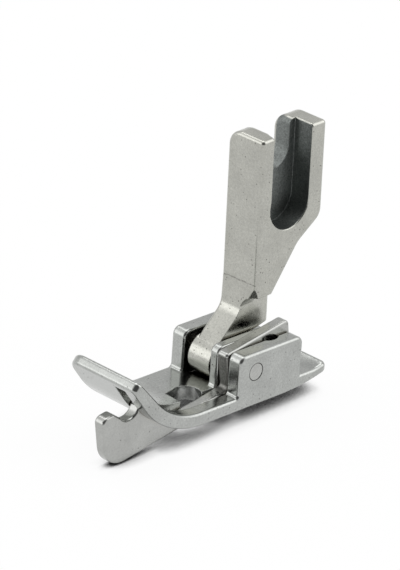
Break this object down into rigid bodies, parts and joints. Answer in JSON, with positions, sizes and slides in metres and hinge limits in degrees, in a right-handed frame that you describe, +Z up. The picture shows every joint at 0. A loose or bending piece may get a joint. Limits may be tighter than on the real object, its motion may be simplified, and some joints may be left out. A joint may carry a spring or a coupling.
{
  "type": "sewing machine presser foot",
  "caption": "High-shank hinged presser foot with open bar pocket, screw slot, upturned slotted toe, needle hole and a spring-loaded edge guide blade.",
  "frame": {"origin": "on the presser bar's axis, level with the clamping screw", "axes": "+Z up along the presser bar, -Y towards the operator and the toe, +X out of the open side of the pocket"},
  "size_m": [0.0131, 0.0409, 0.0386],
  "materials": {
    "shank_steel": "satin polished",
    "sole_steel": "satin polished",
    "lever_steel": "satin polished",
    "pin_steel": "turned",
    "spring_steel": "drawn wire"
  },
  "bodies": {
    "shank": {"shank": "shank_steel"},
    "sole": {"sole": "sole_steel", "hinge_pin": "pin_steel", "guide_spring": "spring_steel"},
    "guide": {"guide_lever": "lever_steel"}
  },
  "joints": [
    {"name": "sole_tilt", "type": "hinge", "parent": "shank", "child": "sole", "pos_m": [-0.00487, -0.00851, -0.0277], "axis": [1, 0, 0], "range_deg": [-15, 15]},
    {"name": "guide_lift", "type": "hinge", "parent": "sole", "child": "guide", "pos_m": [-0.00028, -0.00851, -0.0277], "axis": [-1, 0, 0], "range_deg": [0, 9.5], "stiffness_Nm_per_rad": 0.03, "springref_deg": -17.19, "deforming": ["guide_spring"]}
  ]
}
